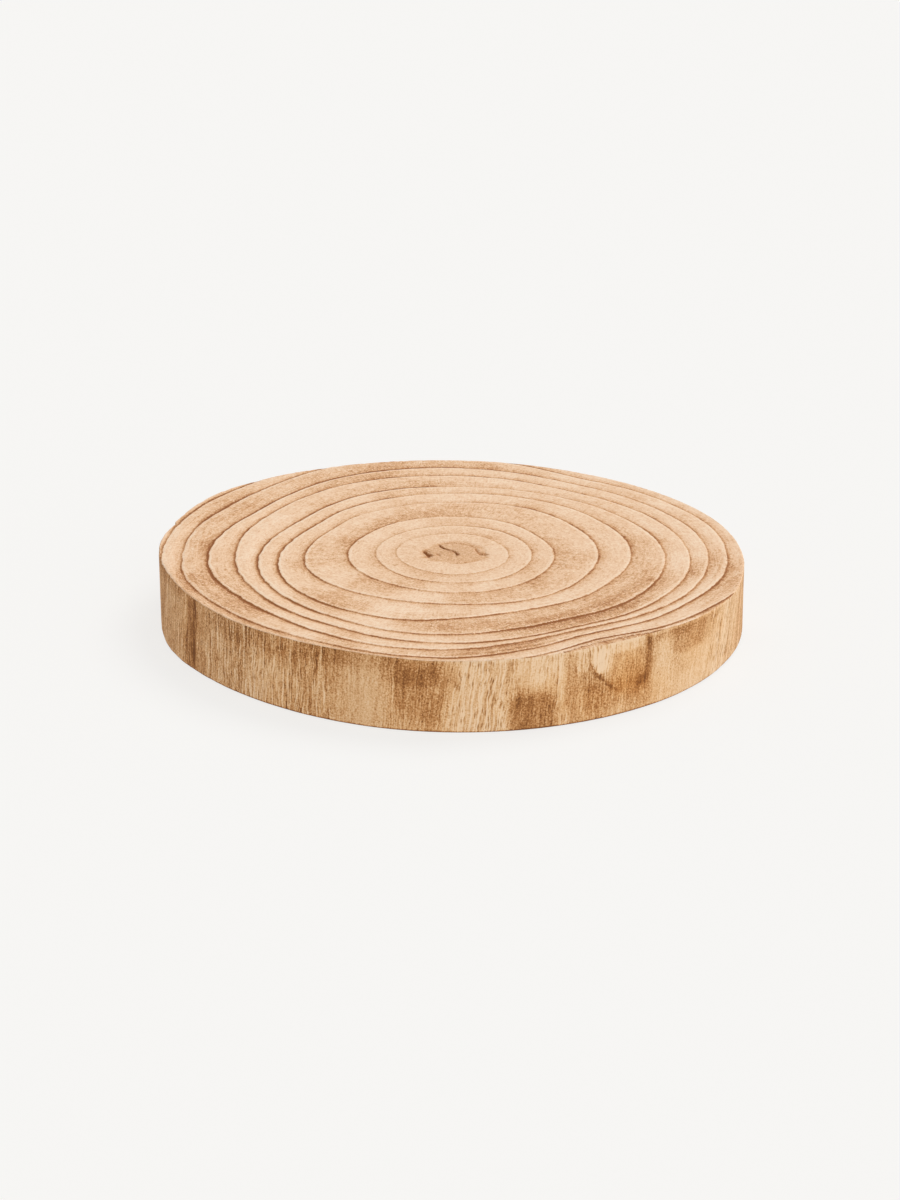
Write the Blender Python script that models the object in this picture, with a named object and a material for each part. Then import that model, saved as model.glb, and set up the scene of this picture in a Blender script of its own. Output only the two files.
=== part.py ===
"""A round slice sawn across a debarked log, lying flat: one solid piece of wood.

Units are metres, +Z is up, and the origin is under the middle of the slice, on
the surface that it lies on. Bearings are in degrees, anticlockwise from +X.
"""

import math

import bmesh
import bpy
from mathutils import Vector

# Driving dimensions.
WIDTH = 0.240  # across the widest part, along X
THICKNESS = 0.0305  # the sawn height, along Z
EDGE_ROUND = 0.0009  # how far the brushed rims are worn round
EDGE_STEPS = 3  # facets across each worn rim
SIDES = 144  # facets round the log

# The log is not quite round, and not quite the same at the two saw cuts. Each outline is
# (bearing, radius as a share of half the width), joined by one smooth closed curve.
UPPER_OUTLINE = (
    (0, 0.999),
    (20, 0.987),
    (38, 0.970),
    (60, 0.960),
    (75, 0.969),
    (90, 0.977),
    (110, 0.995),
    (130, 1.022),
    (143, 1.036),
    (158, 1.019),
    (170, 1.012),
    (180, 0.999),
    (190, 0.974),
    (205, 0.953),
    (222, 0.945),
    (240, 0.939),
    (252, 0.947),
    (268, 0.974),
    (285, 0.974),
    (300, 0.966),
    (312, 0.977),
    (325, 1.006),
    (340, 1.016),
    (350, 1.006),
)
LOWER_OUTLINE = (
    (0, 0.999),
    (20, 0.988),
    (40, 0.973),
    (60, 0.965),
    (80, 0.971),
    (100, 0.984),
    (120, 1.003),
    (140, 1.023),
    (155, 1.021),
    (170, 1.006),
    (180, 0.994),
    (195, 0.981),
    (210, 0.957),
    (225, 0.947),
    (240, 0.952),
    (260, 0.970),
    (280, 0.982),
    (310, 0.989),
    (340, 0.993),
)

WOOD_COLOUR = (0.68, 0.44, 0.24, 1.0)
WOOD_ROUGHNESS = 0.75


def clear_scene():
    for obj in list(bpy.data.objects):
        bpy.data.objects.remove(obj, do_unlink=True)


def share_at(outline, bearing):
    """The outline's radius share at a bearing, on a smooth curve through its points."""
    count = len(outline)

    def knot(index):
        turns, place = divmod(index, count)
        return outline[place][0] + 360 * turns, outline[place][1]

    last = max(i for i in range(count) if outline[i][0] <= bearing)
    (a0, r0), (a1, r1), (a2, r2), (a3, r3) = (knot(last + step) for step in (-1, 0, 1, 2))
    slope_1 = (r2 - r0) / (a2 - a0)
    slope_2 = (r3 - r1) / (a3 - a1)
    span = a2 - a1
    t = (bearing - a1) / span
    return (
        (2 * t**3 - 3 * t**2 + 1) * r1
        + (t**3 - 2 * t**2 + t) * span * slope_1
        + (3 * t**2 - 2 * t**3) * r2
        + (t**3 - t**2) * span * slope_2
    )


def place_on_outline(verts, outline, height):
    """Moves a ring of vertices out or in to the outline, at one height."""
    for vert in verts:
        bearing = math.degrees(math.atan2(vert.co.y, vert.co.x)) % 360
        radius = WIDTH / 2 * share_at(outline, bearing)
        turn = math.radians(bearing)
        vert.co = Vector((radius * math.cos(turn), radius * math.sin(turn), height))


def fit_to_width(bm):
    """Sets the exact width, and puts the middle of the slice's box over the origin."""
    xs = [vert.co.x for vert in bm.verts]
    ys = [vert.co.y for vert in bm.verts]
    middle = Vector(((min(xs) + max(xs)) / 2, (min(ys) + max(ys)) / 2, 0))
    bmesh.ops.translate(bm, verts=bm.verts[:], vec=-middle)
    fit = WIDTH / (max(xs) - min(xs))
    bmesh.ops.scale(bm, verts=bm.verts[:], vec=(fit, fit, 1))


def wood_material():
    material = bpy.data.materials.new("brushed_wood")
    material.use_nodes = True
    shader = material.node_tree.nodes["Principled BSDF"]
    shader.inputs["Base Color"].default_value = WOOD_COLOUR
    shader.inputs["Roughness"].default_value = WOOD_ROUGHNESS
    shader.inputs["Metallic"].default_value = 0.0
    material.diffuse_color = WOOD_COLOUR
    return material


def make_wood_slice(name):
    bm = bmesh.new()
    bmesh.ops.create_circle(bm, cap_ends=True, segments=SIDES, radius=WIDTH / 2)
    underside = bm.faces[:]
    raised = bmesh.ops.extrude_face_region(bm, geom=underside)["geom"]
    upper_ring = [item for item in raised if isinstance(item, bmesh.types.BMVert)]
    lower_ring = [vert for vert in bm.verts if vert not in set(upper_ring)]
    place_on_outline(upper_ring, UPPER_OUTLINE, THICKNESS)
    place_on_outline(lower_ring, LOWER_OUTLINE, 0.0)
    fit_to_width(bm)
    bmesh.ops.recalc_face_normals(bm, faces=bm.faces[:])
    rims = [edge for edge in bm.edges if edge.verts[0].co.z == edge.verts[1].co.z]
    bmesh.ops.bevel(
        bm,
        geom=rims,
        offset=EDGE_ROUND,
        offset_type="OFFSET",
        affect="EDGES",
        segments=EDGE_STEPS,
        profile=0.5,
        material=-1,
    )
    bmesh.ops.recalc_face_normals(bm, faces=bm.faces[:])
    mesh = bpy.data.meshes.new(name)
    bm.to_mesh(mesh)
    bm.free()
    mesh.shade_smooth()
    mesh.set_sharp_from_angle(angle=math.radians(40))
    mesh.materials.append(wood_material())
    slice_object = bpy.data.objects.new(name, mesh)
    bpy.context.scene.collection.objects.link(slice_object)
    return slice_object


clear_scene()
make_wood_slice("wood_slice")
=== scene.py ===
import math

import bmesh
import bpy
import numpy as np
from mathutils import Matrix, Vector, noise


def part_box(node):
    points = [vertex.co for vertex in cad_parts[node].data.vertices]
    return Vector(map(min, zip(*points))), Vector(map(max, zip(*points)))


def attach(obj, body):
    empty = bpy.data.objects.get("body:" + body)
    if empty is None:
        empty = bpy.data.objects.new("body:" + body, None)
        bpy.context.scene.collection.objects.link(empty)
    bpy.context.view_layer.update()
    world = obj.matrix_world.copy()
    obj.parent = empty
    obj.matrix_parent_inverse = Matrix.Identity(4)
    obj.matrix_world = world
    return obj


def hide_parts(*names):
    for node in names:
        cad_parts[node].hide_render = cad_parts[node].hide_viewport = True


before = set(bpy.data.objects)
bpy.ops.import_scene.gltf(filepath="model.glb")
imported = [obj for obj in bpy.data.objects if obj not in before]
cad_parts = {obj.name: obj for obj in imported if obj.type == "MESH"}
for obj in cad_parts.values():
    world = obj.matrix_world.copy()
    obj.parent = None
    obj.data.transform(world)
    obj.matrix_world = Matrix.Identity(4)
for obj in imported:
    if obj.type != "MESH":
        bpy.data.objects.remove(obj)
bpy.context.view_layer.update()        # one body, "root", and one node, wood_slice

mm = 0.001
fullTurn = 2 * math.pi
boxLow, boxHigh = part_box("wood_slice")
boxMiddle = (boxLow + boxHigh) / 2
thickness = (boxHigh.z - boxLow.z) / mm

# lengths in this dictionary are millimetres, bearings are degrees, anticlockwise from +X
sliceValues = {
    "pith": (1.2, 4.7),      # where the rings start, beside the middle of the box
    "spinSteps": 111,        # steps of the turned profile
    "splits": 4,             # each step is split into this many columns
    "pithRows": 32,          # loops of the mesh over the pith
    "pithReach": 16.0,       # how far those loops go
    "outerRows": 28,         # loops outside the last whole ring
    "wallRows": 24,
    "rimRound": 0.8,         # radius of the worn upper rim
    "footRound": 1.2,        # radius of the worn lower rim
    "topClear": 0.02,        # the highest lip stays this far under the saw cut
    "stepDepth": 0.42,       # how deep the brush cut outside a ring line
    "stepReach": 0.72,       # share of a ring over which that cut comes up again
    "deepSide": 190,         # the brush dug deepest on this side
    "creaseDepth": 0.08,
    "undulation": 0.07,
    "underShare": 0.35,      # the underside was brushed less
    "underPatches": 24,      # how many of the scorched patches show there too
    "lineWobble": 0.22,
    "scallop": 0.27,         # a fine wave of the ring lines
    "scallopTurn": 186,
    "scallopSpread": 34,
    "lineLean": 1.45,        # how far the ring lines are moved in, above all at the front
    "notchTurn": 163.5,      # where a shallow notch starts in the upper rim
    "notchSpan": 6,
    "notchDepth": 0.9,
    "crackDepth": 1.1,       # over the pith
    "wallGroove": 0.16,      # upright grooves, on the side
    "wallSwell": 0.16,
    "wallCrackDepth": 0.3,
    "wallBase": 0.46,        # the side's tone where no patch lies, from 0 pale to 1 burnt
    "wallScorch": 0.5,
    "wallPale": 0.5,
    "paintedFootShadow": 0.9,        # painted contact shadow: a dark line along the lower rim
    "nickIn": 0.65,          # how far nicks go into the upper rim, and down from it
    "nickDown": 0.35,
    "nickTurn": 232,
    "nickSpread": 62,
    "seed": 11,
}

# Radii of the growth ring lines about the pith, evenly spaced round it from +X.
# The innermost rings are nearly round, so they need fewer points.
ringLines = [
    [22.5, 21, 21.5, 21.5, 22, 23, 23.7, 24, 25, 26.5, 26, 24.5],
    [32.3, 31, 31, 31, 31, 31.3, 32.2, 33, 35, 36, 36.5, 34.3],
    [41.5, 39.5, 41.5, 42, 42.3, 41.5, 43.5, 44.7, 45.5, 47.5, 47, 43.8],
    [60, 59.3, 58.8, 59.7, 60.7, 60.3, 59.5, 59.7, 59, 58.8, 57.3, 58.7,
     61, 63, 63, 62, 60.8, 60.2, 60.3, 62, 63.3, 62.8, 61.3, 60.5],
    [73.5, 72.7, 71.5, 71.8, 71.5, 71.2, 70.7, 70.3, 69.3, 67.7, 65.8, 67.7,
     71.3, 74.5, 77.2, 78.7, 79.8, 80.2, 76.5, 73.5, 73, 74, 73, 73.5],
    [87.2, 84.5, 82, 80.8, 79.8, 79.3, 79, 79.5, 78.7, 76, 74.3, 76.5,
     79.8, 82.8, 85, 87, 89.5, 93.5, 94, 91.3, 89, 90.5, 90, 88.7],
    [97.2, 94.5, 92, 89.5, 88.5, 91, 92.8, 93.8, 93.5, 91, 89.2, 89.7,
     90, 91.2, 92.3, 94.7, 97, 101.5, 103.3, 101, 98.3, 99.7, 99.5, 99],
    [105, 103, 100, 98, 97, 100, 102.7, 103.3, 102, 98, 95.8, 98.3,
     101, 102, 101, 102, 105.8, 110, 110, 105.3, 101.7, 104.3, 106.3, 106],
    [112.7, 111.5, 108.5, 106.3, 104.5, 110, 116, 118.5, 115.5, 111, 109.3, 111,
     111.7, 113.5, 113, 113.5, 114.5, 117.5, 118.8, 113.5, 107.3, 110.3, 111.3, 113.5],
    # the last two run outside the sawn edge for most of the way round
    [124, 122, 119.5, 118, 116.5, 118, 121, 123, 122.5, 119.3, 119.2, 119.3,
     120.2, 121.5, 122, 122, 123, 125, 126, 121.5, 114, 119, 121.5, 124.5],
    [128, 126, 124, 122, 121, 122, 125, 127, 126, 124, 123, 124,
     124, 125, 126, 126, 127, 129, 130, 124, 116.4, 121.6, 125.5, 128],
]
wholeRings = 8       # the lines that stay inside the rim all the way round
scallopFrom = 4      # the inner lines have no fine wave
besideLine = (-0.9, -0.5, -0.18, 0.1, 0.4, 0.9)      # loops of the mesh beside each whole line
underLoops = (14.0, 9.0, 4.5, 0.0)                   # and over the pith on the underside
# how dark each line is, evenly spaced round it in the same way
lineInks = [
    [0.32, 0.2, 0.22, 0.24, 0.14, 0.14, 0.18, 0.22, 0.32, 0.36, 0.3, 0.3],
    [0.5, 0.6, 0.55, 0.3, 0.3, 0.28, 0.3, 0.42, 0.5, 0.3, 0.42, 0.5],
    [0.5, 0.5, 0.5, 0.3, 0.45, 0.6, 0.75, 0.6, 0.5, 0.3, 0.5, 0.62],
    [0.65, 0.65, 0.6, 0.35, 0.2, 0.5, 0.85, 0.65, 0.6, 0.6, 0.6, 0.65],
    [0.75, 0.75, 0.6, 0.6, 0.4, 0.6, 0.3, 0.5, 0.85, 0.95, 0.9, 1.0,
     1.0, 0.95, 0.75, 0.85, 0.6, 0.85, 0.95, 0.85, 0.75, 0.7, 0.65, 0.6],
    [0.45, 0.9, 0.4, 0.4, 0.35, 0.35, 0.3, 0.9, 0.9, 0.95, 0.95, 0.95,
     1.0, 0.95, 0.9, 1.0, 0.65, 0.5, 0.7, 1.0, 1.0, 1.0, 1.0, 0.6],
    [0.4, 0.5, 0.55, 0.45, 0.5, 0.7, 0.55, 0.6, 0.6, 0.6, 0.7, 0.75,
     0.75, 0.8, 0.9, 1.0, 0.95, 0.6, 0.75, 0.85, 0.85, 0.85, 0.8, 0.6],
    [0.35, 0.5, 0.5, 0.45, 0.55, 0.55, 0.7, 0.9, 0.95, 1.0, 1.0, 0.95,
     0.95, 1.0, 1.0, 1.0, 0.95, 0.7, 0.85, 0.8, 0.72, 0.72, 0.85, 0.8],
    [0.7, 0.5, 0.5, 0.5, 0.65, 0.7, 0.6, 0.6, 0.6, 0.75, 0.9, 0.7,
     0.6, 0.6, 0.65, 0.6, 0.5, 0.55, 0.95, 1.0, 1.0, 0.95, 1.0, 0.9],
    [0.5, 0.5, 0.5, 0.5, 0.5, 0.5, 0.5, 0.5, 0.5, 0.55, 0.65, 0.6,
     0.6, 0.6, 0.6, 0.6, 0.6, 0.6, 0.6, 0.7, 0.95, 0.85, 0.75, 0.6],
    [0.6, 0.6, 0.6, 0.7, 0.9, 0.7, 0.6, 0.6, 0.6, 0.6, 0.8, 0.6],
]
# and how deep the step outside each line is, as a share of the full depth
stepShares = [0.25, 0.45, 0.55, 0.8, 0.9, 1.0, 1.0, 1.0, 1.0, 0.8, 0.6]

# Where the flame went over the rings: bearing, place counted in rings from the pith,
# half angle, half width in rings, strength.
topScorches = [
    (210, 8.5, 15, 0.5, 0.55), (202, 7.6, 14, 0.4, 0.35), (212, 9.3, 20, 0.3, 0.3),
    (230, 4.65, 13, 0.4, 0.45), (228, 5.4, 12, 0.4, 0.22), (247, 8.5, 6, 0.45, 0.38),
    (245, 7.55, 6, 0.35, 0.25), (230, 3.4, 14, 0.45, 0.3), (246, 2.6, 10, 0.45, 0.3),
    (213, 1.5, 2.5, 0.12, 0.7), (250, 1.45, 18, 0.4, 0.22), (275, 5.6, 11, 0.4, 0.5),
    (196, 8.4, 5, 0.5, 0.4), (198, 9.2, 7, 0.4, 0.35), (265, 4.85, 14, 0.2, 0.3),
    (262, 5.45, 10, 0.35, 0.3), (318, 5.78, 27, 0.22, 0.6), (318, 5.4, 34, 0.4, 0.3),
    (304, 6.45, 20, 0.48, 0.8), (332, 6.45, 15, 0.45, 0.34), (300, 7.05, 20, 0.2, 0.3),
    (290, 5.95, 12, 0.2, 0.35), (280, 8.6, 10, 0.45, 0.5), (263, 8.5, 7, 0.4, 0.3),
    (302, 7.92, 26, 0.14, 0.4), (302, 8.25, 24, 0.2, 0.28), (353, 8.5, 9, 0.5, 0.3),
    (348, 7.5, 5, 0.5, 0.4), (349, 9.4, 8, 0.4, 0.3), (340, 7.5, 12, 0.45, 0.2),
    (335, 9.6, 9, 0.4, 0.25), (308, 3.5, 38, 0.45, 0.3), (275, 3.8, 8, 0.2, 0.3),
    (352, 3.4, 14, 0.4, 0.25), (303, 10.5, 10, 0.6, 0.7), (320, 10.35, 12, 0.35, 0.4),
    (247, 9.2, 16, 0.3, 0.25), (285, 8.85, 16, 0.18, 0.4), (9, 5.35, 18, 0.38, 0.22),
    (183, 4.2, 18, 0.5, 0.28), (180, 3.5, 14, 0.4, 0.24), (104, 6.35, 22, 0.35, 0.32),
    (99, 7.1, 14, 0.2, 0.22), (115, 7.55, 16, 0.45, 0.35), (125, 8.5, 24, 0.45, 0.3),
    (92, 8.35, 18, 0.4, 0.38), (152, 9.1, 13, 0.14, 0.35), (150, 9.5, 13, 0.45, 0.3),
    (153, 10.12, 12, 0.16, 0.6), (166, 8.6, 18, 0.4, 0.35), (176, 8.2, 6, 0.25, 0.3),
    (88, 3.5, 34, 0.4, 0.27), (140, 3.25, 40, 0.3, 0.32), (15, 3.2, 26, 0.3, 0.25),
    (108, 5.5, 12, 0.45, 0.25), (330, 2.5, 18, 0.4, 0.15), (20, 2.6, 30, 0.4, 0.12),
]
# and the places that stayed pale
topPales = [
    (88, 4.6, 18, 0.5, 0.35), (88, 5.6, 8, 0.5, 0.4), (40, 6.5, 40, 0.5, 0.25),
    (40, 7.5, 36, 0.5, 0.25), (35, 8.5, 30, 0.4, 0.2), (45, 9.3, 42, 0.5, 0.3),
    (172, 6.5, 22, 0.4, 0.3), (145, 2.5, 24, 0.4, 0.3), (142, 1.5, 24, 0.4, 0.25),
    (182, 9.4, 6, 0.5, 0.3), (181, 8.5, 4, 0.4, 0.3), (215, 5.6, 5, 0.5, 0.3),
    (248, 5.6, 7, 0.5, 0.4), (250, 6.5, 14, 0.4, 0.3), (252, 4.5, 9, 0.5, 0.35),
    (258, 3.5, 9, 0.4, 0.4), (275, 2.5, 20, 0.4, 0.3), (270, 1.5, 14, 0.4, 0.2),
    (325, 8.5, 17, 0.35, 0.3), (322, 9.5, 14, 0.3, 0.35), (324, 7.6, 16, 0.35, 0.15),
    (290, 4.5, 30, 0.4, 0.3), (357, 7.5, 5, 0.45, 0.2), (356, 6.5, 9, 0.45, 0.35),
    (150, 7.4, 14, 0.3, 0.3), (170, 4.5, 20, 0.4, 0.15), (230, 6.5, 14, 0.35, 0.25),
    (232, 7.6, 6, 0.3, 0.3), (12, 7.5, 10, 0.4, 0.3),
]
# cracks over the pith, in millimetres from the middle of the box, with their half widths
# and strengths
pithCracks = [
    ([(-4.5, 13.6), (-4.2, 12), (-3.5, 10.2), (-2.4, 8.6), (-1.2, 7.5), (0.2, 6.8),
      (1.4, 5.8), (2.0, 4.4), (2.5, 3.0), (2.9, 1.4)], 0.42, 1.0),
    ([(-10.8, 5.8), (-10.2, 4.2), (-9.3, 2.2), (-8.8, 0.6), (-8.9, -0.8)], 0.62, 1.0),
    ([(-8.6, 2.6), (-7.9, 1.4), (-7.4, 0.2)], 0.35, 0.8),
    ([(-10.3, 7.2), (-9.2, 6.4), (-8.4, 4.6)], 0.3, 0.4),
    ([(-5.6, 2.8), (-5.0, 2.0), (-4.5, 0.4)], 0.4, 0.45),
    ([(10.4, 8.4), (11.0, 5.6), (11.9, 3.2), (12.2, 1.7)], 0.42, 0.6),
    ([(12.0, 1.7), (13.2, 1.5), (14.9, 1.7)], 0.5, 0.95),
    ([(12.9, 3.4), (12.9, 1.6)], 0.25, 0.6),
    ([(14.1, 3.6), (14.2, 1.6)], 0.25, 0.6),
    ([(-11.5, -2.4), (-10.4, -1.4), (-8.6, -1.2)], 0.35, 0.4),
    ([(-4.5, 13.6), (-2.0, 15.0), (1.0, 15.4), (4.2, 14.6), (7.6, 12.8), (10.0, 10.2)], 0.4, 0.36),
    ([(-3.5, -8.2), (0.5, -9.0), (4.5, -8.5), (8.0, -7.0), (11.0, -5.2)], 0.35, 0.26),
]
pithPatch = {
    "middle": (2.0, 3.9),
    "reach": (12.9, 12.4),
    "sink": 0.16,
    "edge": 0.9,             # width of its edge, which is sunk a little more
    "edgeSink": 0.12,
}

# The side wall, from its foot up: bearing, height, half angle, half height, strength.
wallScorches = [
    (192, 15, 9, 34, 0.1), (206.6, 15, 2.0, 34, 0.38), (190, 30, 14, 4, 0.2), (231, 28, 17, 6, 0.2),
    (240.5, 14, 4.0, 30, 0.08), (221, 12, 3, 20, 0.08), (263.5, 27, 7, 8, 0.28),
    (264.5, 16, 5.0, 12, 0.33), (284.8, 5.5, 4.9, 9.5, 0.64), (292.6, 8, 1.6, 14, 0.16),
    (297.5, 6, 2.4, 9, 0.2), (304.8, 9, 6.4, 5.5, 0.18), (300, 16, 3, 4, 0.12),
    (299, 8.5, 4, 6, 0.12), (320.3, 25, 5.0, 7, 0.46), (326, 25, 3, 8, 0.24), (321, 18, 5, 9, 0.12),
    (251, 29, 8, 5, 0.2), (211.5, 15, 4.5, 34, 0.06), (217, 13, 11, 34, 0.12),
    (249, 14, 5, 34, 0.06), (186, 14, 5, 34, 0.2), (208, 5, 5, 6, 0.15), (296.5, 17, 1.8, 5, 0.22),
    (332.2, 15, 0.9, 34, 0.26), (336.6, 15, 0.6, 34, 0.24), (339.2, 18, 0.5, 30, 0.16),
    (343, 15, 0.8, 34, 0.3), (316, 29, 6, 3.5, 0.25), (347, 15, 1.0, 34, 0.3),
    (351, 15, 1.2, 34, 0.3), (350, 15, 6, 34, 0.08), (312, 12, 8, 30, 0.08), (12, 22, 7, 10, 0.35),
    (31, 9, 5, 10, 0.45), (52, 24, 9, 8, 0.38), (70, 12, 3, 34, 0.35), (88, 8, 7, 9, 0.5),
    (112, 25, 10, 7, 0.38), (127, 12, 3, 14, 0.4), (150, 20, 8, 13, 0.3), (172, 8, 5, 10, 0.35),
]
wallPales = [
    (274.5, 15, 6.0, 34, 0.36), (285.5, 24, 4.6, 6, 0.4), (290.3, 15, 0.8, 34, 0.4),
    (295.2, 26, 1.5, 5.5, 0.34), (319, 12, 8.5, 16, 0.34), (330.2, 13, 0.7, 17, 0.4),
    (336, 15, 4, 34, 0.24), (288, 18, 3, 20, 0.12), (333.7, 15, 1.2, 34, 0.35),
    (341, 15, 0.9, 34, 0.2), (250.5, 12, 5.2, 15, 0.1), (299.1, 23.8, 1.7, 4.9, 1.25),
    (304.5, 28.2, 4.5, 2.6, 0.6), (302, 30.6, 33, 1.6, 0.45), (330, 8, 3, 12, 0.35),
    (222, 9, 12, 14, 0.08), (232, 7, 7, 14, 0.14), (345, 15, 0.7, 34, 0.15), (2, 15, 5, 34, 0.3),
    (22, 14, 3, 34, 0.3), (42, 12, 5, 14, 0.35), (61, 14, 4, 34, 0.3), (79, 20, 4, 12, 0.35),
    (100, 12, 6, 16, 0.35), (140, 14, 5, 34, 0.3), (161, 14, 3, 18, 0.35),
]
# smooth stretches, where the fine grain fades out
wallSmooths = [
    (192, 15, 11, 34, 0.25), (234, 14, 13, 34, -0.3), (274, 15, 6, 34, -0.2),
    (251.3, 13, 5.6, 34, 0.8), (263, 17, 6, 34, 0.4), (319, 13, 8, 34, 0.8), (285, 6, 4.9, 9, 0.6),
    (285.5, 23, 5, 8, 0.5), (294.5, 20, 3, 14, 0.25), (293, 15, 2, 34, 0.3), (305, 8, 9, 10, 0.4),
    (304.5, 24, 6, 8, 0.5), (350, 15, 12, 34, 0.5), (42, 12, 6, 34, 0.8), (100, 13, 7, 34, 0.7),
    (150, 15, 6, 34, 0.5),
]
# stretches of a more golden brown
wallGolds = [
    (305.2, 17, 4.4, 10, 0.6), (304, 6, 10, 10, 0.4), (289, 9, 10, 12, 0.3), (326, 21, 7, 14, 0.35),
    (338, 15, 6, 34, 0.05), (206, 14, 5, 34, 0.25), (238, 14, 9, 34, 0.3), (264, 14, 7, 34, 0.3),
    (60, 10, 20, 24, 0.3), (130, 18, 20, 24, 0.3),
]
# the knot, a bowl of dark grain round a golden heart, with bearings and heights along its rims
knotFigure = {
    "leftRim": [(296.7, 23), (297.6, 20), (299.0, 16.3), (300.5, 13), (302.0, 10.5)],
    "leftWidth": 0.8,
    "rightRim": [(309.8, 30), (310.2, 25), (310.0, 20), (309.3, 15), (307.8, 11)],
    "rightWidth": 1.6,
    "strength": 0.45,
}
# fine upright cracks, by bearings and heights, with their half widths and strengths
wallCracks = [
    ([(204.2, 29), (204.0, 22), (204.5, 13), (204.3, 6)], 0.34, 0.9),
    ([(207.6, 28), (207.3, 20), (207.7, 11), (207.4, 3)], 0.4, 1.0),
    ([(228.5, 30), (228.2, 24), (228.6, 19)], 0.3, 0.6),
    ([(70.5, 30), (70.2, 20), (70.7, 10)], 0.35, 0.9),
    ([(126.8, 22), (127.2, 10), (126.9, 1)], 0.3, 0.8),
]

columns = sliceValues["spinSteps"] * sliceValues["splits"]
bearings = np.arange(columns) / columns * fullTurn
pithX, pithY = sliceValues["pith"]
wallReach = 118.0                            # about how far the wall is from the pith
wallArc = wallReach * math.pi / 180          # millimetres of wall to a degree
rng = np.random.default_rng(sliceValues["seed"])


def smoothstep(low, high, value):
    share = np.clip((value - low) / (high - low), 0, 1)
    return share * share * (3 - 2 * share)


def closedCurve(radii, at):
    # a smooth closed curve through evenly spaced radii, read at these bearings
    points = np.array(radii, float)
    place = at / fullTurn * len(points)
    low = np.floor(place).astype(int)
    share = place - low
    before, start, end, after = (points[(low + step) % len(points)] for step in (-1, 0, 1, 2))
    bend = 2 * before - 5 * start + 4 * end - after
    twist = 3 * (start - end) + after - before
    return start + share / 2 * (end - before + share * (bend + share * twist))


def sideShape(turns, middle, spread):
    # one over a stretch of bearings, and falling to nothing on both sides of it
    return np.exp(-(((np.degrees(turns) - middle) / spread) ** 4))


def wobble(waves, size):
    # a small closed wave round the slice, of a few random lengths
    total = np.zeros(columns)
    for wave in waves:
        total += math.sqrt(waves[0] / wave) * np.sin(wave * bearings + rng.uniform(0, fullTurn))
    return size * total / len(waves)


def outlineAt(height):
    # the CAD slice's radius about the pith, on the loop of its mesh nearest this height
    points = np.array([vertex.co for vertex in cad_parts["wood_slice"].data.vertices]) / mm
    heights = np.unique(np.round(points[:, 2], 2))
    nearest = heights[np.abs(heights - height).argmin()]
    points = points[np.abs(points[:, 2] - nearest) < 0.02]
    x, y = points[:, 0] - pithX, points[:, 1] - pithY
    return np.interp(bearings, *sortedPair(np.arctan2(y, x) % fullTurn, np.hypot(x, y)), period=fullTurn)


def sortedPair(turns, radii):
    order = np.argsort(turns)
    return turns[order], radii[order]


def noiseField(x, y, z, octaves=1):
    # smooth noise about nought at every point of the mesh
    flat = np.stack([np.broadcast_to(part, np.broadcast(x, y, z).shape).ravel() for part in (x, y, z)], 1)
    if octaves == 1:
        found = [noise.noise(point) for point in flat.tolist()]
    else:
        found = [noise.fractal(point, 0.9, 2.0, octaves) for point in flat.tolist()]
    return np.array(found).reshape(np.broadcast(x, y, z).shape)


def roundWall(turns, size, up):
    # noise round the side wall, with lumps of this many millimetres
    return noiseField(np.cos(turns) * wallReach / size, np.sin(turns) * wallReach / size, up)


def patchField(patches, turns, along, edge=0.45, square=2.4):
    # adds up soft patches given by bearing, place along the other way, half sizes and strength
    total = np.zeros(np.broadcast(turns, along).shape)
    for bearing, place, halfTurn, halfLong, strength in patches:
        turned = (np.degrees(turns) - bearing + 180) % 360 - 180
        sideways = np.abs(turned / halfTurn) ** square
        far = (sideways + np.abs((along - place) / halfLong) ** square) ** (1 / square)
        total += strength * (1 - smoothstep(1 - edge, 1 + edge, far))
    return total


def distanceToPath(path, x, y):
    nearest = np.full(np.broadcast(x, y).shape, 1e9)
    for (x0, y0), (x1, y1) in zip(path, path[1:]):
        length = (x1 - x0) ** 2 + (y1 - y0) ** 2
        share = np.clip(((x - x0) * (x1 - x0) + (y - y0) * (y1 - y0)) / length, 0, 1)
        nearest = np.minimum(nearest, np.hypot(x - x0 - share * (x1 - x0), y - y0 - share * (y1 - y0)))
    return nearest


def onWall(path, turns, height):
    # a path of bearings and heights, and every point of the mesh, as millimetres along the wall
    first = path[0][0]
    flat = [((turn - first) * wallArc, up) for turn, up in path]
    return flat, ((np.degrees(turns) - first + 180) % 360 - 180) * wallArc, height


print("measuring the slice")
upperRim = outlineAt(thickness - sliceValues["rimRound"])
lowerRim = outlineAt(sliceValues["footRound"])
lines = np.array([closedCurve(radii, bearings) for radii in ringLines])
lean = 0.62 - 0.38 * np.sin(bearings)
scallops = sideShape(bearings, sliceValues["scallopTurn"], sliceValues["scallopSpread"])
for index in range(len(lines)):
    lines[index] += wobble((23, 37, 61, 90), sliceValues["lineWobble"])
    lines[index] -= sliceValues["lineLean"] * stepShares[index] * lean
    if index >= scallopFrom:
        lines[index] += scallops * wobble((44, 52, 71), sliceValues["scallop"])
notch = (np.degrees(bearings) - sliceValues["notchTurn"]) / sliceValues["notchSpan"]
upperRim -= sliceValues["notchDepth"] * (1 - notch) * (notch > 0) * (notch < 1)


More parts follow.
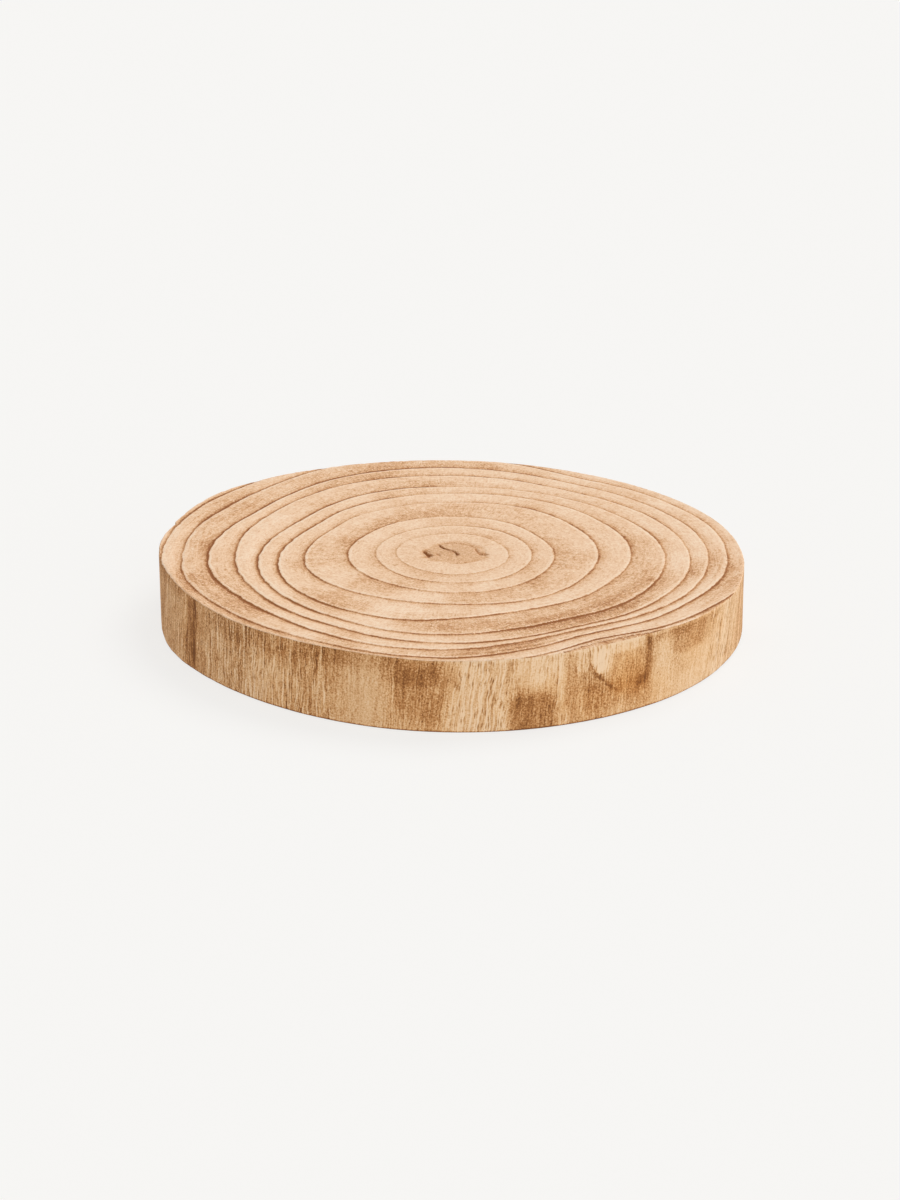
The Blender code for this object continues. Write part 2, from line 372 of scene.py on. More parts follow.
def topRows():
    # radii of the mesh's loops over a sawn face: over the pith, beside each line, and out to the rim
    rows = [np.full(columns, share * sliceValues["pithReach"])
            for share in np.arange(sliceValues["pithRows"] + 1) / sliceValues["pithRows"]]
    start = rows[-1]
    for index in range(wholeRings):
        line = lines[index]
        gaps = 2 if index == 0 else 5
        for step in range(1, gaps + 1):
            rows.append(start + (line + besideLine[0] - start) * step / gaps)
        for beside in besideLine[1:]:
            rows.append(line + beside)
        start = rows[-1]
    flatEdge = upperRim - sliceValues["rimRound"]
    for step in range(1, sliceValues["outerRows"] + 1):
        rows.append(start + (flatEdge - start) * step / sliceValues["outerRows"])
    return rows


def underRows():
    # and from the foot back in to the pith, with fewer loops
    flatEdge = lowerRim - sliceValues["footRound"]
    last = lines[wholeRings - 1]
    rows = [flatEdge + (last - flatEdge) * step / 7 for step in range(8)]
    for index in range(wholeRings - 2, -1, -1):
        rows += [(lines[index] + lines[index + 1]) / 2, lines[index]]
    return rows + [np.full(columns, loop) for loop in underLoops]


print("laying out the mesh")
topRadii = np.array(topRows())
underRadii = np.array(underRows())
rimTurns = np.radians([18, 38, 58, 76, 90])
footTurns = np.radians([0, 25, 50, 75])
wallHeights = np.linspace(thickness - sliceValues["rimRound"], sliceValues["footRound"],
                          sliceValues["wallRows"] + 2)[1:-1]
rimEnd = len(topRadii) + len(rimTurns)
wallEnd = rimEnd + len(wallHeights)
footEnd = wallEnd + len(footTurns)
rowCount = footEnd + len(underRadii)

radius = np.zeros((rowCount, columns))
height = np.zeros((rowCount, columns))
radius[:len(topRadii)] = topRadii
height[:len(topRadii)] = thickness
for row, turn in enumerate(rimTurns, len(topRadii)):
    radius[row] = upperRim - sliceValues["rimRound"] * (1 - math.sin(turn))
    height[row] = thickness - sliceValues["rimRound"] * (1 - math.cos(turn))
for row, up in enumerate(wallHeights, rimEnd):
    radius[row] = lowerRim + (upperRim - lowerRim) * up / thickness
    height[row] = up
for row, turn in enumerate(footTurns, wallEnd):
    radius[row] = lowerRim - sliceValues["footRound"] * (1 - math.cos(turn))
    height[row] = sliceValues["footRound"] * (1 - math.sin(turn))
radius[footEnd:] = underRadii

turns = np.broadcast_to(bearings, radius.shape)
x = pithX + radius * np.cos(turns)
y = pithY + radius * np.sin(turns)
onTop = np.zeros(radius.shape)
onTop[:rimEnd] = 1
onUnder = np.zeros(radius.shape)
onUnder[footEnd:] = 1


def ringFields():
    # each point's place in rings from the pith, the darkness of the lines beside it,
    # and how far outside the nearest line it is, with that line's share of the step
    phase = np.zeros(radius.shape)
    ink = np.zeros(radius.shape)
    signed = np.zeros(radius.shape)
    step = np.zeros(radius.shape)
    counts = np.arange(len(lines) + 1)
    inks = np.array([closedCurve(values, bearings) for values in lineInks])
    inks *= 1 + 0.3 * np.clip(np.sin(bearings), 0, 1)
    for column in range(columns):
        marks = np.concatenate([[0], lines[:, column]])
        here = radius[:, column]
        phase[:, column] = np.interp(here, marks, counts)
        away = here[:, None] - marks[None, 1:]
        nearest = np.abs(away).argmin(1)
        ink[:, column] = np.interp(here, marks[1:], inks[:, column])
        signed[:, column] = away[np.arange(len(here)), nearest]
        step[:, column] = np.array(stepShares)[nearest]
    return phase, ink, signed, step


print("shaping the rings")
phase, ink, signed, stepShare = ringFields()
within = phase - np.floor(phase)
ringStreaks = noiseField(np.cos(turns) * 16, np.sin(turns) * 16, phase * 4)
fineLumps = noiseField(x / 2.6, y / 2.6, height * 0 + onUnder * 9, 3)
sideShare = 0.75 + 0.35 * np.cos(turns - math.radians(sliceValues["deepSide"]))
# the surface drops within a millimetre at each line, then comes up slowly
edgeDrop = smoothstep(-0.35, 0.5, signed)
climb = 1 - smoothstep(0.0, sliceValues["stepReach"], within)
stepDown = np.where((signed < 0) | (phase < 1), 0, climb)
lead = np.where((signed < 0) & (signed > -0.35), edgeDrop, 0)
tail = np.where((signed >= 0) & (signed < 0.5), edgeDrop, 1)
ringDepth = sliceValues["stepDepth"] * stepShare * sideShare * (lead + stepDown * tail)
crease = sliceValues["creaseDepth"] * stepShare * np.exp(-(signed / 0.3) ** 2)
surface = ringDepth + crease + sliceValues["undulation"] * (0.5 + 0.7 * ringStreaks + 0.5 * fineLumps)

patchX, patchY = pithPatch["middle"]
patchAway = np.hypot((x - patchX) / pithPatch["reach"][0], (y - patchY) / pithPatch["reach"][1])
patchAway *= 1 + 0.05 * np.sin(3 * turns + 0.6) + 0.035 * np.sin(7 * turns + 2)
pithTone = 1 - smoothstep(0.93, 1.05, patchAway)
patchEdge = np.exp(-(((patchAway - 1) * pithPatch["reach"][0]) / pithPatch["edge"]) ** 2)
crack = np.zeros(radius.shape)
for path, halfWidth, strength in pithCracks:
    away = distanceToPath(path, x, y) + 0.12 * fineLumps
    crack = np.maximum(crack, strength * (1 - smoothstep(halfWidth * 0.45, halfWidth * 1.7, away)))
surface += pithPatch["sink"] * pithTone + pithPatch["edgeSink"] * patchEdge
surface += sliceValues["crackDepth"] * crack

topDepth = np.clip(surface, 0, None) + sliceValues["topClear"]
rimFade = 1 - smoothstep(upperRim - 1.6, upperRim, radius)
height -= onTop * topDepth * (0.35 + 0.65 * rimFade)
height += onUnder * np.clip(surface, 0, None) * sliceValues["underShare"] * (
    1 - smoothstep(lowerRim - 3, lowerRim - 1, radius))

print("grooving the wall")
wallShare = np.zeros(radius.shape)
wallShare[len(topRadii) + 1:footEnd] = 1
wallShare[len(topRadii) + 1] = 0.5
wallShare[footEnd - 1] = 0.5
smoothWall = np.clip(0.1 + patchField(wallSmooths, turns, height), -0.4, 1)
grooves = roundWall(turns, 2.2, height / 30)
swells = roundWall(turns, 11, height / 70)
wallCrack = np.zeros(radius.shape)
for path, halfWidth, strength in wallCracks:
    away = distanceToPath(*onWall(path, turns, height)) + 0.15 * grooves
    wallCrack = np.maximum(wallCrack, strength * (1 - smoothstep(halfWidth * 0.5, halfWidth * 2.6, away)))
inward = sliceValues["wallGroove"] * (1 - 0.75 * smoothWall) * (0.5 + grooves)
inward += sliceValues["wallSwell"] * (0.5 + swells)
radius -= wallShare * (np.clip(inward, 0, None) + 0.05 + sliceValues["wallCrackDepth"] * wallCrack)
nicks = smoothstep(0.12, 0.5, roundWall(turns, 1.8, 3.3 + 0 * height))
nicks *= 0.25 + 0.75 * sideShape(turns, sliceValues["nickTurn"], sliceValues["nickSpread"])
nearRim = np.exp(-((height - thickness) / 1.3) ** 2) * (radius > upperRim - 3)
radius -= sliceValues["nickIn"] * nicks * nearRim * onTop
height -= sliceValues["nickDown"] * nicks * nearRim * onTop * (radius > upperRim - 1.5)

print("laying out the colour fields")
scorch = patchField(topScorches, turns, phase, edge=0.5) * onTop
underScorches = [(180 - patch[0], *patch[1:]) for patch in topScorches[:sliceValues["underPatches"]]]
scorch += onUnder * patchField(underScorches, turns, phase, edge=0.5)
pale = patchField(topPales, turns, phase, edge=0.6) * onTop
wallScorch = patchField(wallScorches, turns, height, edge=0.25, square=3.5)
wallPale = patchField(wallPales, turns, height, edge=0.25, square=3.5)
knot = np.zeros(radius.shape)
knotLumps = 0.8 * noiseField(turns * 90, height / 1.3, 7.7 + 0 * height)
for side in ("left", "right"):
    away = distanceToPath(*onWall(knotFigure[side + "Rim"], turns, height))
    knot = np.maximum(knot, np.exp(-(np.maximum(away + knotLumps, 0) / knotFigure[side + "Width"]) ** 2))
wallGold = patchField(wallGolds, turns, height, edge=0.5)
wallTone = sliceValues["wallBase"] + sliceValues["wallScorch"] * wallScorch
wallTone += knotFigure["strength"] * knot - sliceValues["wallPale"] * wallPale
# painted contact shadow, darkening the wall towards its foot
wallTone += sliceValues["paintedFootShadow"] * (1 - smoothstep(0.15, 1.0, height))
# darker towards bearing 215 and paler towards the back right: partly painted shade on the side away from
# the key light, partly the side's burnt tone
wallTone += 0.05 * np.cos(turns - math.radians(215))


def turnedProfile():
    # half the slice's section is turned round the pith, and each step is split into columns
    bm = bmesh.new()
    rowLayer = bm.verts.layers.int.new("row")
    chain = []
    for row in range(rowCount):
        out = 0 if row in (0, rowCount - 1) else radius[row].mean() * mm + row * 1e-7
        vertex = bm.verts.new((out, 0, height[row].mean() * mm))
        vertex[rowLayer] = row
        chain.append(vertex)
    edges = [bm.edges.new(pair) for pair in zip(chain, chain[1:])]
    bmesh.ops.spin(bm, geom=chain + edges, cent=(0, 0, 0), axis=(0, 0, 1), angle=fullTurn,
                   steps=sliceValues["spinSteps"], use_merge=True)
    poles = [vertex for vertex in bm.verts if vertex[rowLayer] in (0, rowCount - 1)]
    bmesh.ops.remove_doubles(bm, verts=poles, dist=1e-6)
    rings = [edge for edge in bm.edges if edge.verts[0][rowLayer] == edge.verts[1][rowLayer]]
    bmesh.ops.subdivide_edges(bm, edges=rings, cuts=sliceValues["splits"] - 1, use_grid_fill=True)
    bmesh.ops.triangulate(bm, faces=[face for face in bm.faces if len(face.verts) > 4])
    bmesh.ops.recalc_face_normals(bm, faces=bm.faces[:])
    mesh = bpy.data.meshes.new("brushed_wood_slice")
    bm.to_mesh(mesh)
    bm.free()
    return mesh


def cornersOf(mesh, rowOf, columnOf):
    # each face corner's row and column, with the last column's faces kept in one piece,
    # and the lowest row, highest row and first column of its face
    corner = np.zeros(len(mesh.loops), np.int32)
    mesh.loops.foreach_get("vertex_index", corner)
    start = np.zeros(len(mesh.polygons), np.int32)
    total = np.zeros(len(mesh.polygons), np.int32)
    mesh.polygons.foreach_get("loop_start", start)
    mesh.polygons.foreach_get("loop_total", total)
    rows = rowOf[corner]
    cols = columnOf[corner].astype(float)
    face = np.repeat(np.arange(len(start)), total)
    pole = (rows == 0) | (rows == rowCount - 1)
    high = np.maximum.reduceat(np.where(pole, -1, cols), start)[face]
    cols = np.where(~pole & (high - cols > columns / 2), cols + columns, cols)
    highest = np.maximum.reduceat(rows, start)[face]
    lowest = np.minimum.reduceat(rows, start)[face]
    firstColumn = np.minimum.reduceat(np.where(pole, columns, cols), start)[face]
    return corner, rows, cols, lowest, highest, firstColumn


mapValues = {
    "upperCorner": (0.008, 0.332),
    "upperSize": 0.664,
    "underCorner": (0.99, 0.69),     # the underside is laid out leftwards from here
    "underSize": 0.3,
    "stripStart": 0.005,
    "stripLength": 0.99,
    "stripTop": 0.316,
    "stripStep": 0.106,
    "stripHeight": 0.098,
}


def layOutMap(mesh, rowOf, columnOf, places):
    # the upper face large, the underside smaller beside it, and the wall in three strips under them
    corner, rows, cols, lowest, highest, firstColumn = cornersOf(mesh, rowOf, columnOf)
    size = np.array([boxHigh.x - boxLow.x, boxHigh.y - boxLow.y]) / mm
    across = (places[corner][:, :2] - np.array([boxLow.x, boxLow.y]) / mm) / size.max()
    upper = np.array(mapValues["upperCorner"]) + across * mapValues["upperSize"]
    under = np.array(mapValues["underCorner"]) + across * np.array([-1, 1]) * mapValues["underSize"]
    stripColumns = columns // 3
    strip = np.minimum(firstColumn // stripColumns, 2)
    steps = np.hypot(np.diff(radius.mean(1)), np.diff(height.mean(1)))
    downWall = np.concatenate([[0], np.cumsum(steps)])
    wallTop, wallFoot = len(topRadii) + 2, footEnd
    down = (downWall[rows] - downWall[wallTop]) / (downWall[wallFoot] - downWall[wallTop])
    alongWall = (cols - strip * stripColumns) / stripColumns
    stripTop = mapValues["stripTop"] - mapValues["stripStep"] * strip
    wall = np.stack([mapValues["stripStart"] + mapValues["stripLength"] * alongWall,
                     stripTop - mapValues["stripHeight"] * down], 1)
    isTop = highest <= wallTop
    isUnder = lowest >= wallFoot
    found = np.where(isTop[:, None], upper, np.where(isUnder[:, None], under, wall))
    layer = mesh.uv_layers.new(name="OFBake")
    layer.uv.foreach_set("vector", found.astype(np.float32).ravel())


def addField(mesh, name, values, rowOf, columnOf):
    field = mesh.attributes.new(name, "FLOAT", "POINT")
    field.data.foreach_set("value", values[rowOf, columnOf].astype(np.float32))


def makeSlice():
    print("turning the slice")
    mesh = turnedProfile()
    count = len(mesh.vertices)
    places = np.zeros(count * 3, np.float32)
    mesh.vertices.foreach_get("co", places)
    places = places.reshape(-1, 3)
    rowOf = np.zeros(count, np.int32)
    mesh.attributes["row"].data.foreach_get("value", rowOf)
    turn = np.arctan2(places[:, 1], places[:, 0]) % fullTurn
    columnOf = np.round(turn / fullTurn * columns).astype(int) % columns
    out = radius[rowOf, columnOf]
    out[(rowOf == 0) | (rowOf == rowCount - 1)] = 0
    angle = bearings[columnOf]
    places = np.stack([pithX + out * np.cos(angle),
                       pithY + out * np.sin(angle),
                       height[rowOf, columnOf]], 1)
    mesh.vertices.foreach_set("co", (places * mm).astype(np.float32).ravel())
    mesh.attributes.remove(mesh.attributes["row"])
    fields = {
        "ringPhase": phase,
        "lineGap": np.abs(signed),
        "lineInk": ink * (onTop + onUnder > 0),
        "scorch": scorch,
        "paleness": pale,
        "pithTone": pithTone,
        "pithEdgePaintedShade": patchEdge,
        "crack": crack,
        "wallTone": wallTone,
        "wallSmooth": smoothWall,
        "wallCrack": wallCrack,
        "wallGold": wallGold,
    }
    for name, values in fields.items():
        addField(mesh, name, values, rowOf, columnOf)
    layOutMap(mesh, rowOf, columnOf, places)
    mesh.materials.append(endGrain())
    mesh.materials.append(longGrain())
    lowest, highest = cornersOf(mesh, rowOf, columnOf)[3:5]
    start = np.zeros(len(mesh.polygons), np.int32)
    mesh.polygons.foreach_get("loop_start", start)
    isWall = (highest[start] > len(topRadii) + 2) & (lowest[start] < footEnd)
    mesh.polygons.foreach_set("material_index", isWall.astype(np.int32))
    mesh.shade_smooth()
    mesh.update()
    piece = bpy.data.objects.new("brushed_wood_slice", mesh)
    bpy.context.scene.collection.objects.link(piece)
    return piece


woodValues = {
    # from the palest wood to the darkest burnt line
    "endTones": [(0.0, (250, 224, 196)), (0.2, (244, 209, 176)), (0.4, (233, 191, 151)),
                 (0.6, (215, 165, 120)), (0.8, (187, 130, 83)), (1.0, (152, 94, 52))],
    "longTones": [(0.0, (250, 217, 180)), (0.22, (236, 193, 144)), (0.45, (212, 160, 108)),
                  (0.65, (190, 134, 81)), (0.85, (160, 106, 59)), (1.0, (128, 82, 44))],
    "endBase": 0.25,
    "lineShade": 0.5,
    "stepShadeAndBurn": 0.25,       # the brown that fades outwards from a line: partly painted shade below each step, partly burnt earlywood
    "edgeReach": 5.5,        # millimetres
    "lipHighlight": -0.22,       # painted highlight: the raised lip just inside a line made paler
    "scorchShade": 0.42,
    "paleShade": 0.2,
    "fleckShade": -0.6,
    "crackShade": 0.6,
    "endGrit": (1300.0, 0.85),       # waves in a metre, and how far they swing the tone
    "longGrit": (1500.0, 0.78),
    "endPores": 1150.0,              # in a metre
    "longFibre": 1.6,
    "longDashes": (150.0, 260.0),    # how many to one radian of wall, and to a metre of height
    "gold": (255, 238, 205),
    "shine": 0.25,
}


def linear(colour):
    found = []
    for part in colour:
        share = part / 255
        found.append(share / 12.92 if share <= 0.04045 else ((share + 0.055) / 1.055) ** 2.4)
    return (*found, 1.0)


class Wiring:
    # short ways to add and join shader nodes
    def __init__(self, name):
        self.material = bpy.data.materials.new(name)
        self.material.use_nodes = True
        self.tree = self.material.node_tree
        self.shader = self.tree.nodes["Principled BSDF"]

    def add(self, kind, **settings):
        node = self.tree.nodes.new(kind)
        for name, value in settings.items():
            setattr(node, name, value)
        return node

    def plug(self, socket, value):
        if isinstance(value, bpy.types.NodeSocket):
            self.tree.links.new(value, socket)
        else:
            socket.default_value = value

    def field(self, name):
        return self.add("ShaderNodeAttribute", attribute_name=name).outputs["Fac"]

    def math(self, operation, first, second=0.0):
        node = self.add("ShaderNodeMath", operation=operation)
        for socket, value in zip(node.inputs, (first, second)):
            self.plug(socket, value)
        return node.outputs[0]

    def ease(self, value, low, high, start=0.0, end=1.0):
        node = self.add("ShaderNodeMapRange", interpolation_type="SMOOTHSTEP")
        for name, number in (("Value", value), ("From Min", low), ("From Max", high),
                             ("To Min", start), ("To Max", end)):
            self.plug(node.inputs[name], number)
        return node.outputs["Result"]

    def around(self, value, size):
        # a cloud's value, made to swing this much about nought
        return self.times(self.sum(value, -0.5), size)

    def vector(self, x, y, z):
        node = self.add("ShaderNodeCombineXYZ")
        for socket, value in zip(node.inputs, (x, y, z)):
            self.plug(socket, value)
        return node.outputs[0]

    def cloud(self, place, scale, detail=2.0, roughness=0.5):
        node = self.add("ShaderNodeTexNoise")
        self.plug(node.inputs["Vector"], place)
        node.inputs["Scale"].default_value = scale
        node.inputs["Detail"].default_value = detail
        node.inputs["Roughness"].default_value = roughness
        return node.outputs["Fac"]

    def pits(self, place, scale):
        node = self.add("ShaderNodeTexVoronoi")
        self.plug(node.inputs["Vector"], place)
        node.inputs["Scale"].default_value = scale
        return node.outputs["Distance"], node.outputs["Color"]

    def tones(self, value, stops):
        node = self.add("ShaderNodeValToRGB")
        ramp = node.color_ramp
        while len(ramp.elements) < len(stops):
            ramp.elements.new(0.5)
        for element, (place, colour) in zip(ramp.elements, stops):
            element.position = place
            element.color = linear(colour)
        self.plug(node.inputs[0], value)
        return node.outputs[0]

    def sum(self, *terms):
        total = terms[0]
        for term in terms[1:]:
            total = self.math("ADD", total, term)
        return total

    def times(self, first, second):
        return self.math("MULTIPLY", first, second)

    def mix(self, share, first, second, blend):
        node = self.add("ShaderNodeMix", data_type="RGBA", blend_type=blend)
        self.plug(node.inputs[0], share)
        self.plug(node.inputs[6], first)
        self.plug(node.inputs[7], second)
        return node.outputs[2]

    def bump(self, height, strength, distance):
        node = self.add("ShaderNodeBump")
        node.inputs["Strength"].default_value = strength
        node.inputs["Distance"].default_value = distance
        self.plug(node.inputs["Height"], height)
        return node.outputs[0]


def grainPlaces(wiring):
    # the object's place, its direction from the pith as two shares, and its height
    place = wiring.add("ShaderNodeTexCoord").outputs["Object"]
    split = wiring.add("ShaderNodeSeparateXYZ")
    wiring.plug(split.inputs[0], place)
    x = wiring.math("SUBTRACT", split.outputs[0], pithX * mm)
    y = wiring.math("SUBTRACT", split.outputs[1], pithY * mm)
    away = wiring.math("SQRT", wiring.sum(wiring.times(x, x), wiring.times(y, y)))
    away = wiring.math("MAXIMUM", away, 1e-5)
    return place, wiring.math("DIVIDE", x, away), wiring.math("DIVIDE", y, away), split.outputs[2]


def endGrain():
    wiring = Wiring("brushed_end_grain")
    place, east, north = grainPlaces(wiring)[:3]
    ringPhase = wiring.field("ringPhase")
    inkNow = wiring.field("lineInk")
    scorchNow = wiring.field("scorch")
    within = wiring.math("FRACT", ringPhase)
    outside = wiring.math("LESS_THAN", within, 0.5)
    side = wiring.sum(wiring.times(outside, 2.0), -1.0)

    def along(turnScale, ringScale):
        return wiring.vector(wiring.times(east, turnScale), wiring.times(north, turnScale),
                             wiring.times(ringPhase, ringScale))

    streaks = wiring.cloud(along(15.0, 12.0), 1.0, 3.0, 0.65)
    brushed = wiring.cloud(along(30.0, 34.0), 1.0, 2.0, 0.6)
    rays = wiring.cloud(along(120.0, 3.2), 1.0, 2.0, 0.6)
    broad = wiring.cloud(place, 55.0, 3.0, 0.55)
    patchy = wiring.cloud(along(5.0, 1.3), 1.0, 3.0, 0.6)
    gritScale, gritShare = woodValues["endGrit"]
    grit = wiring.cloud(place, gritScale, 2.0, 0.75)
    jitter = wiring.cloud(place, 420.0, 2.0, 0.6)
    poreGap, poreColour = wiring.pits(place, woodValues["endPores"])
    pore = wiring.times(wiring.ease(poreGap, 0.18, 0.5, 1.0, 0.0), wiring.ease(poreColour, 0.35, 0.6))

    # burnt lines, each with a brown fade outwards that is partly painted shade below the step and partly
    # burn, and a painted highlight on the lip just inside
    signedGap = wiring.sum(wiring.times(wiring.field("lineGap"), side), wiring.around(jitter, 0.9))
    lineWidth = wiring.sum(0.55, wiring.times(inkNow, 1.35))
    core = wiring.times(wiring.ease(signedGap, -0.4, 0.08),
                        wiring.ease(signedGap, 0.15, lineWidth, 1.0, 0.0))
    uneven = wiring.ease(patchy, 0.25, 0.75, 0.7, 1.15)
    lineShade = wiring.times(core, wiring.times(wiring.sum(0.14, wiring.times(inkNow, 0.86)), uneven))
    # partly painted shade below each step, partly burnt earlywood, fading outwards from the line
    fade = wiring.times(wiring.ease(signedGap, 0.0, woodValues["edgeReach"], 1.0, 0.0), outside)
    stepShadeAndBurn = wiring.times(wiring.times(fade, fade), wiring.times(inkNow, uneven))
    early = wiring.ease(within, 0.0, 0.6, 1.0, 0.0)
    # painted highlight along the raised lip just inside each line
    lip = wiring.times(wiring.ease(signedGap, -1.9, -0.5), wiring.ease(signedGap, -0.35, -0.1, 1.0, 0.0))
    fleckGap, fleckColour = wiring.pits(along(150.0, 12.0), 1.0)
    fleck = wiring.times(wiring.ease(fleckGap, 0.2, 0.5, 1.0, 0.0), wiring.ease(fleckColour, 0.45, 0.6))
    ragged = wiring.sum(scorchNow, wiring.around(grit, 0.7), wiring.around(streaks, 0.9),
                        wiring.around(broad, 0.6))
    burnt = wiring.ease(ragged, 0.05, 0.85)

    tone = wiring.sum(
        woodValues["endBase"],
        wiring.around(broad, 0.34),
        wiring.around(patchy, 0.28),
        wiring.around(streaks, 0.6),
        wiring.around(brushed, 0.4),
        wiring.around(rays, 0.52),
        wiring.around(grit, gritShare),
        wiring.times(wiring.times(early, uneven), 0.08),
        wiring.times(lineShade, woodValues["lineShade"]),
        wiring.times(stepShadeAndBurn, woodValues["stepShadeAndBurn"]),
        wiring.times(wiring.times(lip, inkNow), woodValues["lipHighlight"]),
        wiring.times(scorchNow, woodValues["scorchShade"] * 0.75),
        wiring.times(burnt, woodValues["scorchShade"] * 0.36),
        wiring.times(wiring.times(fleck, wiring.sum(0.12, scorchNow)), woodValues["fleckShade"]),
        wiring.times(wiring.field("paleness"), -woodValues["paleShade"]),
        wiring.times(wiring.times(pore, wiring.sum(0.3, wiring.times(early, 0.4), scorchNow)), 0.2),
        wiring.times(wiring.field("pithTone"), 0.2),
        # painted shade along the sunk edge of the pith patch
        wiring.times(wiring.field("pithEdgePaintedShade"), 0.12),
        wiring.times(wiring.field("crack"), woodValues["crackShade"]),
    )
    colour = wiring.tones(tone, woodValues["endTones"])
    wiring.plug(wiring.shader.inputs["Base Color"], colour)
    wiring.plug(wiring.shader.inputs["Roughness"], wiring.ease(tone, 0.1, 0.9, 0.72, 0.88))
    relief = wiring.sum(wiring.times(streaks, 0.6), wiring.times(rays, 0.4), wiring.times(grit, 0.6),
                        wiring.times(wiring.times(pore, wiring.sum(0.3, early, scorchNow)), -0.6))
    wiring.plug(wiring.shader.inputs["Normal"], wiring.bump(relief, 0.6, 0.0003))
    wiring.shader.inputs["Specular IOR Level"].default_value = woodValues["shine"]
    return wiring.material


def longGrain():
    wiring = Wiring("brushed_long_grain")
    place, east, north, up = grainPlaces(wiring)
    toneNow = wiring.field("wallTone")
    fibre = wiring.sum(1.0, wiring.times(wiring.field("wallSmooth"), -0.8))

    # places squeezed along the trunk give streaks that stand upright
    swayPlace = wiring.vector(wiring.times(east, 18.0), wiring.times(north, 18.0),
                              wiring.times(up, 110.0))
    sway = wiring.around(wiring.cloud(swayPlace, 1.0, 1.0), 0.02)
    spiral = wiring.times(wiring.ease(east, -0.3, 0.0), -1.1)     # the grain leans over on one side
    sway = wiring.sum(sway, wiring.times(spiral, up))
    swayEast = wiring.sum(east, wiring.times(north, wiring.times(sway, -1.0)))
    swayNorth = wiring.sum(north, wiring.times(east, sway))

    def upright(turnScale, upScale):
        return wiring.vector(wiring.times(swayEast, turnScale), wiring.times(swayNorth, turnScale),
                             wiring.times(up, upScale))

    fine = wiring.cloud(upright(185.0, 62.0), 1.0, 2.0, 0.6)
    dashGap, dashColour = wiring.pits(upright(*woodValues["longDashes"]), 1.0)
    bands = wiring.cloud(upright(30.0, 8.0), 1.0, 2.0, 0.6)
    broad = wiring.cloud(place, 70.0, 3.0, 0.6)
    gritScale, gritShare = woodValues["longGrit"]
    grit = wiring.cloud(place, gritScale, 2.0, 0.7)
    dash = wiring.times(wiring.ease(dashGap, 0.2, 0.5, 1.0, 0.0), wiring.ease(dashColour, 0.35, 0.5))
    speckGap, speckColour = wiring.pits(place, 1000.0)
    speck = wiring.times(wiring.ease(speckGap, 0.2, 0.5, 1.0, 0.0), wiring.around(speckColour, 1.0))
    ragged = wiring.sum(toneNow, wiring.around(grit, 1.4), wiring.around(fine, 0.4),
                        wiring.around(broad, 0.5), wiring.times(speck, 0.3))
    burnt = wiring.ease(ragged, 0.4, 0.9)
    tone = wiring.sum(
        wiring.times(toneNow, 0.66),
        wiring.times(burnt, 0.28),
        wiring.times(wiring.around(fine, woodValues["longFibre"]), fibre),
        wiring.times(wiring.times(dash, fibre), wiring.ease(toneNow, 0.2, 0.5, 0.45, 0.22)),
        wiring.around(bands, 0.18),
        wiring.around(broad, 0.12),
        wiring.around(grit, gritShare),
        wiring.times(speck, wiring.sum(0.1, wiring.times(toneNow, 0.35))),
        wiring.times(wiring.field("wallCrack"), 0.35),
        -0.03,
    )
    colour = wiring.tones(tone, woodValues["longTones"])
    gold = wiring.times(wiring.field("wallGold"), wiring.ease(broad, 0.3, 0.6, 0.6, 1.0))
    colour = wiring.mix(gold, colour, linear(woodValues["gold"]), "MULTIPLY")
    wiring.plug(wiring.shader.inputs["Base Color"], colour)
    wiring.plug(wiring.shader.inputs["Roughness"], wiring.ease(tone, 0.1, 0.9, 0.7, 0.9))
    relief = wiring.sum(wiring.times(fine, fibre), wiring.times(wiring.times(dash, fibre), -0.5),
                        wiring.times(grit, 0.5))
    wiring.plug(wiring.shader.inputs["Normal"], wiring.bump(relief, 0.8, 0.0004))
    wiring.shader.inputs["Specular IOR Level"].default_value = woodValues["shine"]
    return wiring.material


piece = makeSlice()
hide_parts("wood_slice")
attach(piece, "root")

# the pale floor, the light and the camera
studioValues = {
    "floorSize": 12.0,           # metres
    "floorGap": 0.00005,         # keeps the floor off the flat underside
    "floorColour": (0.16, 0.159, 0.1565),
    "glowColour": (0.93, 0.922, 0.906),
    "floorGlow": 0.831,
    "sky": 0.5,
    "keyStrength": 1.5,
    "keyTurn": 48,               # bearing that the main light comes from
    "keyUp": 52,
    "keySoftness": 35,
    "keyColour": (1, 0.985, 0.96),
    "fillStrength": 0.7,
    "fillTurn": -48,
    "fillUp": 24,
    "fillSoftness": 60,
    "fillColour": (1, 1, 1),
    "cameraDistance": 2.297,
    "cameraUp": 21.0,            # degrees above the horizon
    "cameraAim": (-0.00025, -0.011, 0.0),
    "lens": 168.8,               # millimetres, on a sensor this wide
    "sensor": 36,
    "viewEnd": 50,
}


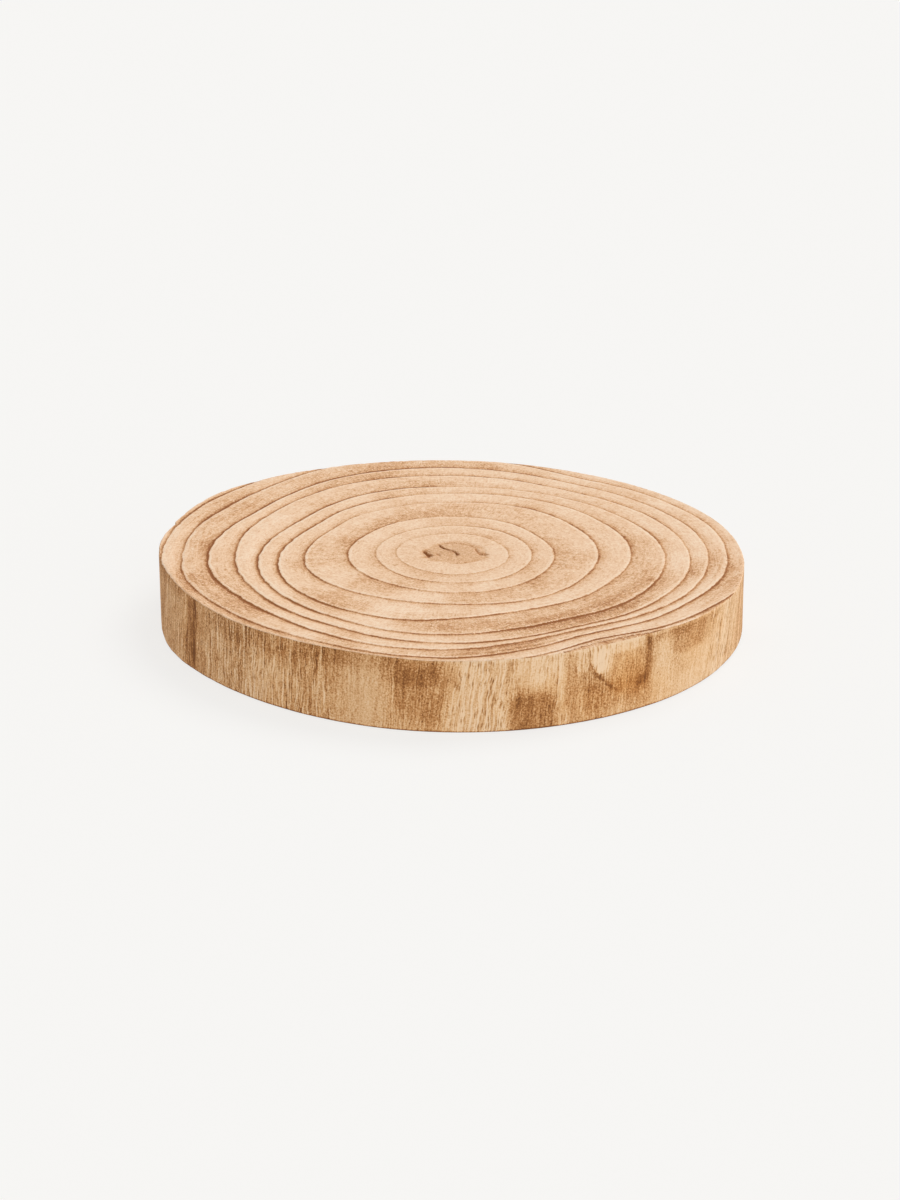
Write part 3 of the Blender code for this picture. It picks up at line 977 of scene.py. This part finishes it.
def makeFloor():
    print("laying the floor")
    bm = bmesh.new()
    bmesh.ops.create_grid(bm, x_segments=1, y_segments=1, size=studioValues["floorSize"] / 2)
    bmesh.ops.translate(bm, verts=bm.verts[:], vec=(0, 0, -studioValues["floorGap"]))
    mesh = bpy.data.meshes.new("pale_floor")
    bm.to_mesh(mesh)
    bm.free()
    material = bpy.data.materials.new("pale_floor")
    material.use_nodes = True
    shader = material.node_tree.nodes["Principled BSDF"]
    shader.inputs["Base Color"].default_value = (*studioValues["floorColour"], 1)
    shader.inputs["Roughness"].default_value = 0.9
    shader.inputs["Specular IOR Level"].default_value = 0.0
    shader.inputs["Emission Color"].default_value = (*studioValues["glowColour"], 1)
    shader.inputs["Emission Strength"].default_value = studioValues["floorGlow"]
    mesh.materials.append(material)
    floor = bpy.data.objects.new("pale_floor", mesh)
    bpy.context.scene.collection.objects.link(floor)


def makeSun(name, kind):
    light = bpy.data.lights.new(name, "SUN")
    light.energy = studioValues[kind + "Strength"]
    light.angle = math.radians(studioValues[kind + "Softness"])
    light.color = studioValues[kind + "Colour"]
    lamp = bpy.data.objects.new(name, light)
    turn = math.radians(studioValues[kind + "Turn"])
    up = math.radians(studioValues[kind + "Up"])
    towards = Vector((math.cos(turn) * math.cos(up), math.sin(turn) * math.cos(up), math.sin(up)))
    lamp.rotation_euler = towards.to_track_quat("Z", "Y").to_euler()
    lamp.location = towards
    bpy.context.scene.collection.objects.link(lamp)


def makeStudio():
    makeFloor()
    print("setting the lights and the camera")
    scene = bpy.context.scene
    world = bpy.data.worlds.new("soft_room")
    world.use_nodes = True
    world.node_tree.nodes["Background"].inputs["Color"].default_value = (1, 1, 1, 1)
    world.node_tree.nodes["Background"].inputs["Strength"].default_value = studioValues["sky"]
    scene.world = world
    makeSun("key_softbox", "key")
    makeSun("front_fill", "fill")
    camera = bpy.data.objects.new("camera", bpy.data.cameras.new("camera"))
    camera.data.sensor_width = studioValues["sensor"]
    camera.data.lens = studioValues["lens"]
    camera.data.clip_end = studioValues["viewEnd"]
    up = math.radians(studioValues["cameraUp"])
    aim = boxMiddle + Vector(studioValues["cameraAim"])
    back = Vector((0, -math.cos(up), math.sin(up)))
    camera.location = aim + studioValues["cameraDistance"] * back
    camera.rotation_euler = back.to_track_quat("Z", "Y").to_euler()
    scene.collection.objects.link(camera)
    scene.camera = camera
    scene.view_settings.view_transform = "Standard"


makeStudio()
